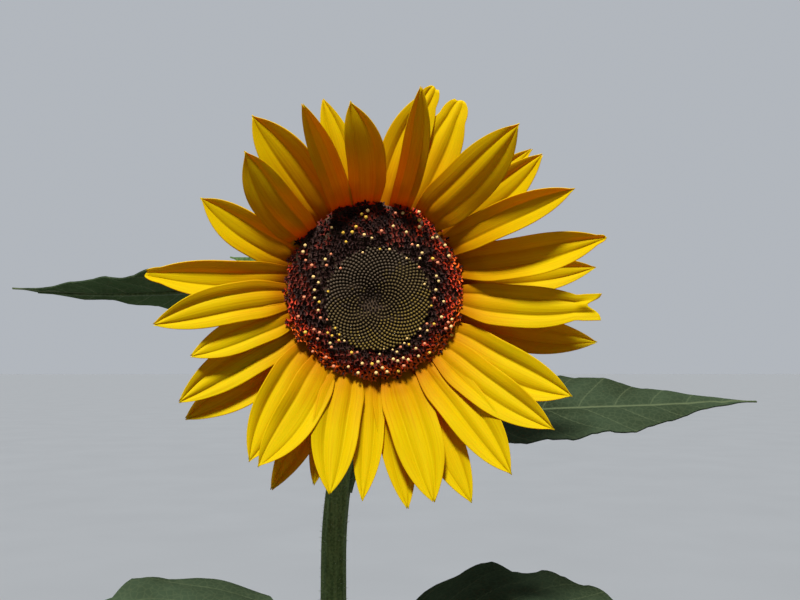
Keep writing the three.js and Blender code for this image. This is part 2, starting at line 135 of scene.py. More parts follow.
# One row a petal, clockwise from the top: root angle, tip angle, reach, width, layer, then its looks:
# how far its halves cup forward, its twist in degrees, its sideways bow and how far its tip curls forward
PETAL_KEYS = ["root", "tip", "reach", "width", "layer", "cup", "twist", "bow", "curl"]
PETALS = [
    (97, 97, 75.5, 16, 0, 0.30, 8, 3.5, -2),
    (83, 73.5, 92, 19, 2, 0.12, -4, -2.5, -1),
    (73, 77, 81, 11, 0, 0.75, 14, 2.5, 2),
    (67, 65.5, 91, 21, 2, 0.10, 4, 0.0, -2),
    (56, 49, 86, 21, 0, -0.16, -4, 2.0, 1),
    (48, 42, 91.5, 12, 2, 0.50, 20, 0.5, 2),
    (43, 39, 89.5, 17, 1, 0.35, 6, 2.5, 1),
    (32, 27, 89.5, 14, 0, 0.55, -14, -1.0, -2),
    (19, 13, 96.5, 17, 0.4, 0.50, 4, 2.0, 1),
    (10, 6, 97, 16, 2, 0.35, -10, 1.5, 0),
    (355, 356, 94, 18, 0, 0.22, 4, 2.0, 0),
    (345, 347, 99, 17, 2, 0.40, -6, 2.5, 2),
    (330, 332, 94, 21, 0.5, 0.26, 4, 2.5, 1),
    (319, 322.5, 94, 18, 0, 0.30, -6, 2.0, 1),
    (306, 307, 95, 20, 0, 0.20, 5, -1.5, 0),
    (295, 295, 98, 18, 0.8, 0.25, -4, 0.5, 1),
    (284, 286, 91, 21, 0, 0.18, 3, -1.5, 0),
    (277, 279, 93, 15, 0.9, 0.30, 6, -0.5, 1),
    (268, 267, 88, 13, 0.6, 0.30, -5, -1.0, 2),
    (251, 258, 86, 20, 0, 0.18, 4, 1.5, 1),
    (245, 253, 88, 12, 2, 0.30, 0, 0.5, 0),
    (235, 243, 96, 15, 2, 0.45, 12, -2.5, 2),
    (234, 237, 87, 18, 0, 0.34, -4, -2.5, 0),
    (221, 234, 89, 19, 1, 0.22, 5, 1.3, 1),
    (215, 214.5, 97, 19, 2, 0.25, -6, -1.5, 3),
    (207, 210, 94, 18, 1.2, 0.24, 5, 1.5, 2),
    (196, 200, 81, 15, 0.5, 0.22, -6, 0.5, 1),
    (184, 189, 91, 17, 0, 0.24, 4, 2.3, 0),
    (171, 176, 94.5, 16, 1, 0.55, -8, -1.5, 1),
    (158, 152, 81.5, 17, 1, 0.42, 6, -2.0, -1),
    (142, 133, 75, 18, 0, 0.16, -5, -3.0, 1),
    (123, 125, 87, 20, 1, 0.45, 4, 1.0, 1),
    (111, 111, 77.5, 11, 0, 0.60, 34, 1.0, 3),
    (107, 105, 85.5, 14, 2, 0.20, -4, 2.0, -1),
]

# The petals' tips: where along a petal they start, then the half widths of the blunt ones by their place
# in the table, and the one that is forked
POINT_FROM = 0.5
BLUNT_FULL = 0.85
ROUND_FROM = 0.86
BLUNT_TIPS = {1: 5, 3: 6, 8: 2.5, 28: 3.5}
FORKED_PETAL = 10
FORK_HALF = 5.6
FORK_DEPTH = 4.5
FORK_WIDTH = 0.4

# The petals' faces, for a petal of a usual width: two creased grooves beside a ridge, fine ribs, and a
# frill along the edges. Widths and places are shares of half a petal's width
USUAL_WIDTH = 17
GROOVE_DEPTH = 0.9
GROOVE_PLACE = 0.4
GROOVE_WIDTH = 0.2
CREASE = 0.5
CREASE_WIDTH = 0.06
RIDGE_HEIGHT = 0.35
RIDGE_WIDTH = 0.25
RIB_HEIGHT = 0.03
RIB_TURNS = 40
FRILL = 0.05

# Bracts: rows of pointed scales behind the rays, each with its count, length, lean and depth
BRACT_ROWS = [(15, 31, -4, -5.4), (14, 34, -17, -6.3), (9, 27, -36, -7.4)]
BRACT_WIDTH = 12
BRACT_THICKNESS = 0.7
BRACT_ACROSS = 8
BRACT_ALONG = 16

# Closed buds: the spacing of their spiral, its middle, which has a dimple, how far they stand out of
# their bed, and the edge where open florets begin
BUD_SPACING = 0.8
SPIRAL_MIDDLE = np.array([-1.0, -4.0, 0.0])
BUD_DIMPLE = 1.8
BUD_STAND = 1.7
BUD_SIZES = (0.62, 1.05)
BUD_LEAN = 8
BED_STEPS = 48
EDGE_RADIUS = 22
EDGE_ABOVE = -4
EDGE_ASIDE = 1.8

# Open florets: the spacing of their spiral, the heights of their ring on the way from its inner edge to
# the outer one, how they lean and grow on that way, and the share of them that show pollen
FLORET_SPACING = 1.42
RING_SHARES = [0, 0.15, 0.35, 0.5, 0.72, 0.9, 1]
RING_HEIGHTS = [8.7, 9.7, 9.9, 9.0, 7.2, 5.6, 4.8]
FLORET_STAND = 3.0
FLORET_LEANS = (-16, 44)
FLORET_SIZES = (0.8, 1.12)
RAGGED_INSIDE = 0.4
RAGGED_OUTSIDE = 1.3
POLLEN_SHARES = [(0, 0.5), (0.12, 0.14), (0.3, 0.4), (0.5, 0.22), (0.66, 0.3), (0.85, 0.08), (1, 0)]

# Leaves: height on the stem, compass direction (0 is +X, 90 is +Y), stalk length and rise, blade length
# and width, slope of the blade at its base and tip, fold, roll, and heart (1) or lance (0) shape
LEAF_KEYS = ["height", "turn", "stalk", "rise", "length", "width", "from", "to", "fold", "roll", "heart"]
TOP_LEAVES = [
    (977, 181, 63, 83, 128, 56, -11, 4, 0, 13, 0.1),
    (904, 3, 62, 75, 174, 68, 4, 0, 0, 25, 0.2),
    (800, 345, 58.5, 60, 156, 108, 28, -54, 7, 3, 0.8),
    (830, 239.5, 48, 58, 180, 103, 9, -35, 10, -4, 0.37),
]

# The leaves below them, which wind down the stem. Stalks, lengths and widths run from the slightest leaf
# to the fullest, and the slopes from the highest leaf to the lowest
LOWER_LEAVES = 11
LOWER_TOP = 742
LOWER_FOOT = 150
LOWER_TURN = 84
LEAF_TURN = 137.5
LOWER_FULLNESS = (0.28, 0.86)
LOWER_STALKS = (70, 112)
LOWER_RISES = (48, 30)
LOWER_LENGTHS = (150, 214)
LOWER_WIDTHS = (104, 170)
LOWER_FROMS = (16, 2)
LOWER_TOS = (-58, -48)
LOWER_FOLD = 10
LOWER_ROLL = 5

# Leaf blades. Pairs are for a lance and a heart, and shares are of the blade's length or half width
LEAF_STATIONS = 48
LEAF_ACROSS = 44
LEAF_ALONG = 72
LEAF_THICKNESS = 0.7
LEAF_TIP = 0.5
WIDEST_AT = (0.36, 0.24)
BASE_SHARES = (0.1, 0.6)
TIP_EASE = 1.6
DROOP_EASE = 0.8
LOBE_SHARE = 0.13
EDGE_WAVE = 0.05
EDGE_WAVES = 15
RUFFLE = 0.035
RUFFLES = 37
TOOTH = 0.045
TOOTH_SPACING = 11
VEIN_PAIRS = 9
VEIN_SLANT = 0.62
VEIN_CURVE = 0.2
QUILT = 0.009
CHANNEL = 0.01
CHANNEL_WIDTH = 3.5

# A blade's UV map: the width in millimetres and the number of side veins that it spans, and the number
# it starts from
UV_SPAN = 240
UV_VEINS = 20
UV_FIRST_VEIN = 10

# Leaf stalks, which run on under the blade as its midrib: shares of the stalk's length and radius
STALK_SEAT = 1.5
STALK_STATIONS = 46
STALK_ROOT = 2.1
STALK_ROOT_SHARE = 0.009
STALK_END = 0.35
MIDRIB_REACH = 0.9
MIDRIB_SINK = 0.75
MIDRIB_DROP = 0.012

# Patterns in the surfaces: the size of one mark of each, and the number of veins across a petal, each of
# them drawn coarser than a real one so that it shows
PETAL_VEINS = 34
PETAL_CLOUD = 11
LEAF_CELL = 3
LEAF_CLOUD = 40
STALK_STREAK = 1.4
STALK_FLECK = 1.1
FLOOR_CLOUD = 650

# Camera: where it stands from the middle of the disc, its aim, and its focal length
CAMERA_DISTANCE = 377
CAMERA_RISE = math.radians(4.66)
CAMERA_TURN = math.radians(-1.77)
CAMERA_LENS = 38.61
SENSOR_WIDTH = 36

# Studio: the floor in metres, the brightness of the room in front, behind and above, and the key light's
# place from the head in metres, its size, power and spread in degrees
FLOOR_SIZE = 400
ROOM_FRONT = 0.14
ROOM_BACKDROP = 0.62
ROOM_CEILING = 1.0
KEY_PLACE = (-0.2, -1.0, 1.27)
KEY_SIZE = 0.24
KEY_POWER = 6.5
KEY_SPREAD = 50


def mix(a, b, share):
    """The value a share of the way from a to b."""
    return a + (b - a) * share


def smooth(x, low, high):
    """An S-shaped step from 0 at low to 1 at high."""
    t = np.clip((x - low) / (high - low), 0, 1)
    return t * t * (3 - 2 * t)


def unit(vector):
    return vector / np.linalg.norm(vector)


def on_face(turn):
    """The unit vector across the head's face at an angle in degrees."""
    return np.array([math.cos(math.radians(turn)), math.sin(math.radians(turn)), 0.0])


def from_head(points):
    """Places in the head's frame, carried to the plant's frame."""
    return HEAD_CENTRE + points @ np.array([HEAD_RIGHT, HEAD_UP, HEAD_FACING])


# Making and finishing meshes


def select_only(piece):
    bpy.ops.object.select_all(action="DESELECT")
    piece.select_set(True)
    bpy.context.view_layer.objects.active = piece


def linked(name, data):
    """A new object for a mesh, curve, light or camera, linked into the scene."""
    made = bpy.data.objects.new(name, data)
    bpy.context.collection.objects.link(made)
    return made


def start_editing(piece):
    """Opens a piece in edit mode with all of it selected."""
    select_only(piece)
    bpy.ops.object.mode_set(mode="EDIT")
    bpy.ops.mesh.select_all(action="SELECT")


def close_up():
    """Merges doubled points and turns faces outwards, all over the piece in edit mode, and leaves it."""
    bpy.ops.mesh.select_all(action="SELECT")
    bpy.ops.mesh.remove_doubles(threshold=MERGE)
    bpy.ops.mesh.normals_make_consistent(inside=False)
    bpy.ops.object.mode_set(mode="OBJECT")


def lay(piece, places):
    """Moves a piece's vertices to places in millimetres."""
    piece.data.vertices.foreach_set("co", (places * MM).astype(np.float32).ravel())
    piece.data.update()


def finish_with(piece, kind, **settings):
    """Adds a modifier, sets it and applies it."""
    select_only(piece)
    bpy.ops.object.modifier_add(type=kind)
    modifier = piece.modifiers[-1]
    for key, value in settings.items():
        setattr(modifier, key, value)
    bpy.ops.object.modifier_apply(modifier=modifier.name)


def dress(piece, materials, angle=None):
    """Gives a piece its materials and smooth shading, up to an angle in degrees where one is given."""
    for material in materials:
        piece.data.materials.append(material)
    select_only(piece)
    if angle is None:
        bpy.ops.object.shade_smooth()
    else:
        bpy.ops.object.shade_smooth_by_angle(angle=math.radians(angle))


def join(pieces, name):
    """Joins pieces into the first of them, and names it."""
    bpy.ops.object.select_all(action="DESELECT")
    for piece in pieces:
        piece.select_set(True)
    bpy.context.view_layer.objects.active = pieces[0]
    bpy.ops.object.join()
    pieces[0].name = name
    pieces[0].data.name = name
    return pieces[0]


def set_down(piece, slot, *nodes):
    """The piece rides on the plant and stands for its nodes, whose parts it hides. Its slot is not used."""
    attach(piece, "root")
    if nodes:
        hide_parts(*nodes)


def blade_grid(name, across, along):
    """A flat grid with its own UV map: returns it with each vertex's u from -1 to 1 and v from 0 to 1."""
    bpy.ops.object.select_all(action="DESELECT")
    bpy.ops.mesh.primitive_grid_add(x_subdivisions=across, y_subdivisions=along, size=2, calc_uvs=True)
    piece = bpy.context.object
    piece.name = name
    piece.data.name = name
    places = np.empty(len(piece.data.vertices) * 3, np.float32)
    piece.data.vertices.foreach_get("co", places)
    places = places.reshape(-1, 3).astype(float)
    return piece, places[:, 0], (places[:, 1] + 1) / 2


def set_uv(piece, uv):
    """Writes a UV place for each vertex into the piece's own UV map."""
    corners = np.empty(len(piece.data.loops), np.int32)
    piece.data.loops.foreach_get("vertex_index", corners)
    piece.data.uv_layers[0].data.foreach_set("uv", uv[corners].astype(np.float32).ravel())


def limb(name, route, radii, ridges, ridge_depth, sides):
    """A round limb with lengthwise ridges along a route, closed at both ends."""
    outline = bpy.data.curves.new(name + "_outline", "CURVE")
    ring = outline.splines.new("POLY")
    ring.points.add(sides - 1)
    for i, point in enumerate(ring.points):
        turn = 2 * math.pi * i / sides
        radius = 1 + ridge_depth * math.cos(ridges * turn)
        point.co = (radius * math.cos(turn), radius * math.sin(turn), 0, 1)
    ring.use_cyclic_u = True
    section = linked(name + "_outline", outline)
    path = bpy.data.curves.new(name, "CURVE")
    path.dimensions = "3D"
    path.bevel_mode = "OBJECT"
    path.bevel_object = section
    path.use_fill_caps = True
    line = path.splines.new("POLY")
    line.points.add(len(route) - 1)
    for point, place, radius in zip(line.points, route, radii):
        point.co = (*(place * MM), 1)
        point.radius = radius * MM
    piece = linked(name, path)
    select_only(piece)
    bpy.ops.object.convert(target="MESH")
    bpy.data.objects.remove(section)
    start_editing(piece)
    close_up()
    return piece


def spun(name, profile, steps):
    """A profile of (radius, depth) pairs in the head's frame, spun round the head's axis."""
    mesh = bpy.data.meshes.new(name)
    points = from_head(np.array([(radius, 0, depth) for radius, depth in profile], float)) * MM
    mesh.from_pydata(points.tolist(), [(i, i + 1) for i in range(len(profile) - 1)], [])
    piece = linked(name, mesh)
    start_editing(piece)
    centre = tuple(HEAD_CENTRE * MM)
    bpy.ops.mesh.spin(steps=steps, angle=2 * math.pi, center=centre, axis=tuple(HEAD_FACING))
    close_up()
    return piece


def turned_shape(profile, sides, part):
    """A small closed shape turned from (radius, height, star) rows: a star row swings in and out."""
    points = []
    faces = []
    for radius, height, swing in profile:
        for i in range(sides):
            turn = 2 * math.pi * i / sides
            out = radius * (1 + swing * (1 if i % 2 else -1))
            points.append((out * math.cos(turn), out * math.sin(turn), height))
    for row in range(len(profile) - 1):
        for i in range(sides):
            a = row * sides + i
            b = row * sides + (i + 1) % sides
            faces.append((a, b, b + sides, a + sides))
    faces.append(tuple(reversed(range(sides))))
    last = (len(profile) - 1) * sides
    faces.append(tuple(range(last, last + sides)))
    return points, faces, [part] * len(faces)


def shapes_together(shapes):
    """Several small shapes as one, each keeping its own part number."""
    points, faces, parts = [], [], []
    for shape_points, shape_faces, shape_parts in shapes:
        start = len(points)
        points += shape_points
        faces += [tuple(start + k for k in face) for face in shape_faces]
        parts += shape_parts
    return points, faces, parts


def scatter(name, shape, copies, materials):
    """Copies of a small shape as one mesh.

    A copy is (place, up, out, size, tints), where tints[part] is the number of the material that the
    faces of that part take.
    """
    points, faces, parts = shape
    base = np.array(points, float)
    all_points = []
    all_faces = []
    all_slots = []
    for number, (place, up, out, size, tints) in enumerate(copies):
        side = unit(np.cross(up, out))
        turned = np.array([np.cross(side, up), side, up])
        all_points.append(place + (base * size) @ turned)
        start = number * len(points)
        all_faces += [tuple(start + k for k in face) for face in faces]
        all_slots += [tints[part] for part in parts]
    mesh = bpy.data.meshes.new(name)
    mesh.from_pydata((np.concatenate(all_points) * MM).tolist(), [], all_faces)
    mesh.polygons.foreach_set("material_index", all_slots)
    piece = linked(name, mesh)
    dress(piece, materials, angle=50)
    return piece


# Materials


def linear(code):
    """An sRGB hex colour as linear red, green, blue and alpha."""
    parts = [int(code[i : i + 2], 16) / 255 for i in (1, 3, 5)]
    return [c / 12.92 if c <= 0.04045 else ((c + 0.055) / 1.055) ** 2.4 for c in parts] + [1.0]


def node(tree, kind, inputs=None, stops=None, **settings):
    """Adds a node.

    Settings are its properties, stops its ramp's colours, and inputs the values of its sockets or the
    sockets that they are linked to.
    """
    made = tree.nodes.new(kind)
    for key, value in settings.items():
        setattr(made, key, value)
    for i, (place, colour) in enumerate(stops or []):
        element = made.color_ramp.elements[i] if i < 2 else made.color_ramp.elements.new(place)
        element.position = place
        element.color = colour
    for key, value in (inputs or {}).items():
        if isinstance(value, bpy.types.NodeSocket):
            tree.links.new(value, made.inputs[key])
        else:
            made.inputs[key].default_value = value
    return made


def per_metre(size):
    """The scale of a pattern whose marks have a size in millimetres."""
    return 1 / (size * MM)


def new_material(name):
    """An empty material: returns it with its node tree and its output."""
    material = bpy.data.materials.new(name)
    material.use_nodes = True
    tree = material.node_tree
    tree.nodes.clear()
    return material, tree, node(tree, "ShaderNodeOutputMaterial")


def petal_tissue():
    """Ray petal: thin satin tissue.

    Light that falls on its back glows through it, more orange than the yellow of its lit face, and fine
    veins run from its orange root to its tip.
    """
    material, tree, output = new_material("petal_satin_tissue")
    uv = node(tree, "ShaderNodeUVMap", uv_map="UVMap").outputs[0]
    split = node(tree, "ShaderNodeSeparateXYZ", {0: uv})
    stretch = node(tree, "ShaderNodeMapping", {"Vector": uv, "Scale": (1, 0.05, 1)}).outputs[0]
    veins = node(
        tree,
        "ShaderNodeTexNoise",
        {"Vector": stretch, "Scale": PETAL_VEINS, "Detail": 3, "Roughness": 0.6},
    ).outputs[0]
    place = node(tree, "ShaderNodeTexCoord").outputs["Object"]
    cloud = node(
        tree, "ShaderNodeTexNoise", {"Vector": place, "Scale": per_metre(PETAL_CLOUD), "Detail": 2}
    ).outputs[0]
    sway = node(
        tree, "ShaderNodeMath", {0: cloud, 1: 0.16, 2: split.outputs[1]}, operation="MULTIPLY_ADD"
    )
    along = node(tree, "ShaderNodeMath", {0: sway.outputs[0], 1: 0.08}, operation="SUBTRACT").outputs[0]
    lit = node(
        tree,
        "ShaderNodeValToRGB",
        {0: along},
        stops=[
            (0.0, linear("#974707")),
            (0.07, linear("#BD7303")),
            (0.24, linear("#D2A602")),
            (0.5, linear("#D6C002")),
            (1.0, linear("#D6C604")),
        ],
    ).outputs[0]
    shade = node(
        tree, "ShaderNodeValToRGB", {0: veins}, stops=[(0.3, linear("#F0D898")), (0.55, linear("#FFFFFF"))]
    ).outputs[0]
    colour = node(
        tree, "ShaderNodeMixRGB", {"Fac": 0.7, "Color1": lit, "Color2": shade}, blend_type="MULTIPLY"
    ).outputs[0]
    glow = node(
        tree,
        "ShaderNodeMixRGB",
        {"Fac": 0.9, "Color1": colour, "Color2": linear("#EC5A06")},
        blend_type="MULTIPLY",
    ).outputs[0]
    bump = node(tree, "ShaderNodeBump", {"Height": veins, "Strength": 0.22, "Distance": 0.0004}).outputs[0]
    skin = node(
        tree,
        "ShaderNodeBsdfPrincipled",
        {"Base Color": colour, "Roughness": 0.6, "IOR": 1.4, "Specular IOR Level": 0.06, "Normal": bump},
    ).outputs[0]
    through = node(tree, "ShaderNodeBsdfTranslucent", {"Color": glow, "Normal": bump}).outputs[0]
    both = node(tree, "ShaderNodeMixShader", {0: 0.6, 1: skin, 2: through}).outputs[0]
    tree.links.new(both, output.inputs[0])
    return material


def vein_marks(tree, split):
    """How much of a leaf's midrib or side vein shows at a place on its UV map, from 0 to 1."""
    off = node(tree, "ShaderNodeMath", {0: split.outputs[0], 1: 0.5}, operation="SUBTRACT").outputs[0]
    width = node(tree, "ShaderNodeMath", {0: off, 1: UV_SPAN}, operation="MULTIPLY").outputs[0]
    across = node(tree, "ShaderNodeMath", {0: width}, operation="ABSOLUTE").outputs[0]
    count = node(
        tree, "ShaderNodeMath", {0: split.outputs[1], 1: UV_VEINS}, operation="MULTIPLY"
    ).outputs[0]
    folded = node(tree, "ShaderNodeMath", {0: count, 1: 1.0}, operation="PINGPONG").outputs[0]
    nearest = node(tree, "ShaderNodeMath", {0: folded, 1: 0.5}, operation="PINGPONG").outputs[0]
    line = node(
        tree,
        "ShaderNodeMapRange",
        {0: nearest, 1: 0.01, 2: 0.035, 3: 1.0, 4: 0.0},
        interpolation_type="SMOOTHSTEP",
    ).outputs[0]
    fade = node(tree, "ShaderNodeMapRange", {0: across, 1: 15.0, 2: 75.0, 3: 1.0, 4: 0.35}).outputs[0]
    faded = node(tree, "ShaderNodeMath", {0: line, 1: fade}, operation="MULTIPLY").outputs[0]
    side_vein = node(tree, "ShaderNodeMath", {0: faded, 1: 0.5}, operation="MULTIPLY").outputs[0]
    midrib = node(
        tree,
        "ShaderNodeMapRange",
        {0: across, 1: 0.4, 2: 1.3, 3: 1.0, 4: 0.0},
        interpolation_type="SMOOTHSTEP",
    ).outputs[0]
    return node(tree, "ShaderNodeMath", {0: side_vein, 1: midrib}, operation="MAXIMUM").outputs[0]


def leaf_blade(name, green, dark, vein, vein_share, through_share):
    """Leaf blade: rough dark green tissue without gloss, quilted between pale veins.

    The UV map holds the distance from the midrib and the number of veins passed on the way to the tip.
    """
    material, tree, output = new_material(name)
    uv = node(tree, "ShaderNodeUVMap", uv_map="UVMap").outputs[0]
    veins = vein_marks(tree, node(tree, "ShaderNodeSeparateXYZ", {0: uv}))
    place = node(tree, "ShaderNodeTexCoord").outputs["Object"]
    cells = node(
        tree,
        "ShaderNodeTexVoronoi",
        {"Vector": place, "Scale": per_metre(LEAF_CELL)},
        feature="DISTANCE_TO_EDGE",
    ).outputs[0]
    net = node(tree, "ShaderNodeMapRange", {0: cells, 1: 0.0, 2: 0.14, 3: 1.0, 4: 0.0}).outputs[0]
    cloud = node(
        tree, "ShaderNodeTexNoise", {"Vector": place, "Scale": per_metre(LEAF_CLOUD), "Detail": 4}
    ).outputs[0]
    ground = node(
        tree, "ShaderNodeValToRGB", {0: cloud}, stops=[(0.35, linear(dark)), (0.68, linear(green))]
    ).outputs[0]
    net_fade = node(tree, "ShaderNodeMath", {0: net, 1: 0.09}, operation="MULTIPLY").outputs[0]
    netted = node(
        tree, "ShaderNodeMixRGB", {"Fac": net_fade, "Color1": ground, "Color2": linear(vein)}
    ).outputs[0]
    vein_fade = node(tree, "ShaderNodeMath", {0: veins, 1: vein_share}, operation="MULTIPLY").outputs[0]
    colour = node(
        tree, "ShaderNodeMixRGB", {"Fac": vein_fade, "Color1": netted, "Color2": linear(vein)}
    ).outputs[0]
    grain = node(tree, "ShaderNodeMath", {0: net, 1: -0.3, 2: cloud}, operation="MULTIPLY_ADD").outputs[0]
    bump = node(tree, "ShaderNodeBump", {"Height": grain, "Strength": 0.4, "Distance": 0.0006}).outputs[0]
    skin = node(
        tree,
        "ShaderNodeBsdfPrincipled",
        {"Base Color": colour, "Roughness": 0.75, "IOR": 1.42, "Specular IOR Level": 0.0, "Normal": bump},
    ).outputs[0]
    through = node(tree, "ShaderNodeBsdfTranslucent", {"Color": colour, "Normal": bump}).outputs[0]
    both = node(tree, "ShaderNodeMixShader", {0: through_share, 1: skin, 2: through}).outputs[0]
    tree.links.new(both, output.inputs[0])
    return material


def green_stalk(name, light, dark, roughness):
    """Stem, stalk or bract: matt green skin with lengthwise streaks and small pale flecks."""
    material, tree, output = new_material(name)
    place = node(tree, "ShaderNodeTexCoord").outputs["Object"]
    stretch = node(tree, "ShaderNodeMapping", {"Vector": place, "Scale": (1, 1, 0.08)}).outputs[0]
    streaks = node(
        tree, "ShaderNodeTexNoise", {"Vector": stretch, "Scale": per_metre(STALK_STREAK), "Detail": 3}
    ).outputs[0]
    flecks = node(
        tree, "ShaderNodeTexNoise", {"Vector": place, "Scale": per_metre(STALK_FLECK), "Detail": 1}
    ).outputs[0]
    both = node(tree, "ShaderNodeMath", {0: streaks, 1: flecks}, operation="ADD").outputs[0]
    half = node(tree, "ShaderNodeMath", {0: both, 1: 0.5}, operation="MULTIPLY").outputs[0]
    colour = node(
        tree, "ShaderNodeValToRGB", {0: half}, stops=[(0.38, linear(dark)), (0.64, linear(light))]
    ).outputs[0]
    bump = node(tree, "ShaderNodeBump", {"Height": half, "Strength": 0.5, "Distance": 0.0005}).outputs[0]
    skin = node(
        tree,
        "ShaderNodeBsdfPrincipled",
        {
            "Base Color": colour,
            "Roughness": roughness,
            "IOR": 1.4,
            "Specular IOR Level": 0.25,
            "Normal": bump,
        },
    ).outputs[0]
    tree.links.new(skin, output.inputs[0])
    return material


def plain_tissue(name, colour, roughness):
    """A tiny part of a floret or a bristle: one soft colour, since each is only a pixel or two across."""
    material, tree, output = new_material(name)
    skin = node(
        tree,
        "ShaderNodeBsdfPrincipled",
        {"Base Color": linear(colour), "Roughness": roughness, "IOR": 1.4, "Specular IOR Level": 0.2},
    ).outputs[0]
    tree.links.new(skin, output.inputs[0])
    return material


def pale_floor():
    """Studio floor: matt off-white paint with a faint unevenness."""
    material, tree, output = new_material("floor_matt_paint")
    place = node(tree, "ShaderNodeTexCoord").outputs["Object"]
    cloud = node(
        tree, "ShaderNodeTexNoise", {"Vector": place, "Scale": per_metre(FLOOR_CLOUD), "Detail": 2}
    ).outputs[0]
    colour = node(
        tree, "ShaderNodeValToRGB", {0: cloud}, stops=[(0.3, linear("#DAD9D6")), (0.7, linear("#DEDDDA"))]
    ).outputs[0]
    skin = node(tree, "ShaderNodeBsdfPrincipled", {"Base Color": colour, "Roughness": 0.9}).outputs[0]
    tree.links.new(skin, output.inputs[0])
    return material


# The stem


def cubic_route(points, count):
    """Evenly spaced places on the smooth curve through points, by the centripetal Catmull-Rom rule."""
    points = [np.array(p, float) for p in points]
    ends = [2 * points[0] - points[1], *points, 2 * points[-1] - points[-2]]
    dense = []
    for a, b, c, d in zip(ends, ends[1:], ends[2:], ends[3:]):
        before, between, after = (math.sqrt(np.linalg.norm(q - p)) for p, q in ((a, b), (b, c), (c, d)))
        start = ((b - a) / before - (c - a) / (before + between) + (c - b) / between) * between
        end = ((c - b) / between - (d - b) / (between + after) + (d - c) / after) * between
        for t in np.linspace(0, 1, ROUTE_SAMPLES, endpoint=False):
            bend = (2 * t**3 - 3 * t**2 + 1) * b + (t**3 - 2 * t**2 + t) * start
            dense.append(bend + (3 * t**2 - 2 * t**3) * c + (t**3 - t**2) * end)
    dense = np.array([*dense, points[-1]])
    steps = np.concatenate([[0], np.cumsum(np.linalg.norm(np.diff(dense, axis=0), axis=1))])
    even = np.linspace(0, steps[-1], count)
    return np.stack([np.interp(even, steps, dense[:, k]) for k in range(3)], axis=1)


def stem_radius(share, height):
    """The stem's radius at a share of its length: a taper, the root flare and the wider end at the head."""
    taper = mix(FOOT_RADIUS, NECK_RADIUS, share**TAPER_EASE)
    flare = FLARE * np.exp(-height / FLARE_HEIGHT)
    return taper + flare + (NECK_END_RADIUS - NECK_RADIUS) * smooth(share, NECK_FROM, 1)


def stem_line():
    """The stem's centre line and its radii, ending square to the back of the head."""
    end = HEAD_CENTRE + HEAD_FACING * (NECK_DEPTH - GAP)
    line = cubic_route([*STEM_ROUTE, end - NECK_STRAIGHT * HEAD_FACING, end], STEM_STATIONS)
    return line, stem_radius(np.linspace(0, 1, STEM_STATIONS), line[:, 2])


def ring_frame(way):
    """Two unit vectors square to a direction of travel."""
    first = unit(np.cross(way, ASKEW))
    return first, np.cross(way, first)


def bristles(name, line, radii, count, material, first, last):
    """Short stiff hairs that stand out of a limb, leaning a little towards its tip."""
    spike = turned_shape([(1, 0, 0), (0.3, BRISTLE_LENGTH / BRISTLE_WIDTH, 0)], 3, 0)
    copies = []
    for _ in range(count):
        at = random.uniform(first, last) * (len(line) - 1)
        i = min(int(at), len(line) - 2)
        way = unit(line[i + 1] - line[i])
        one, two = ring_frame(way)
        turn = random.uniform(0, 2 * math.pi)
        out = one * math.cos(turn) + two * math.sin(turn)
        place = mix(line[i], line[i + 1], at - i) + out * radii[i] * BRISTLE_SEAT
        up = unit(out + way * random.uniform(*BRISTLE_LEANS))
        copies.append((place, up, way, BRISTLE_WIDTH * random.uniform(*BRISTLE_SIZES), [0]))
    return scatter(name, spike, copies, [material])


def make_stem(greens, bristle):
    """The stem: a ridged limb with bristles, cut flat at the ground."""
    line, radii = stem_line()
    below = line[0] - [0, 0, BELOW_GROUND]
    beyond = line[-1] + HEAD_FACING * INTO_HEAD
    route = np.array([below, *line, beyond])
    widths = np.array([radii[0], *radii, radii[-1]])
    stem = limb("stem_skin", route, widths, STEM_RIDGES, RIDGE_DEPTH, STEM_RIDGES * SIDES_A_RIDGE)
    start_editing(stem)
    bpy.ops.mesh.bisect(plane_co=(0, 0, 0), plane_no=(0, 0, 1), use_fill=True, clear_inner=True)
    bpy.ops.object.mode_set(mode="OBJECT")
    dress(stem, [greens], angle=60)
    set_down(stem, "stem", "stem")
    hairs = bristles("stem_bristles", line, radii, BRISTLES_ON_STEM, bristle, 0.02, 0.99)
    set_down(hairs, "stem")


# The leaves


def leaf_rows():
    """The leaves as dictionaries: those near the head, then those that wind down by the golden turn."""
    leaves = [dict(zip(LEAF_KEYS, row)) for row in TOP_LEAVES]
    for i in range(LOWER_LEAVES):
        share = i / (LOWER_LEAVES - 1)
        full = math.sin(math.pi * mix(*LOWER_FULLNESS, share))
        leaves.append(
            {
                "height": mix(LOWER_TOP, LOWER_FOOT, share),
                "turn": LOWER_TURN + LEAF_TURN * i,
                "stalk": mix(*LOWER_STALKS, full),
                "rise": mix(*LOWER_RISES, share),
                "length": mix(*LOWER_LENGTHS, full),
                "width": mix(*LOWER_WIDTHS, full),
                "from": mix(*LOWER_FROMS, share),
                "to": mix(*LOWER_TOS, share),
                "fold": LOWER_FOLD,
                "roll": LOWER_ROLL if i % 2 else -LOWER_ROLL,
                "heart": 1,
            }
        )
    return leaves


def turned_about(vector, axis, angle):
    """A vector turned about a unit axis."""
    across = np.cross(axis, vector)
    return vector * math.cos(angle) + across * math.sin(angle)


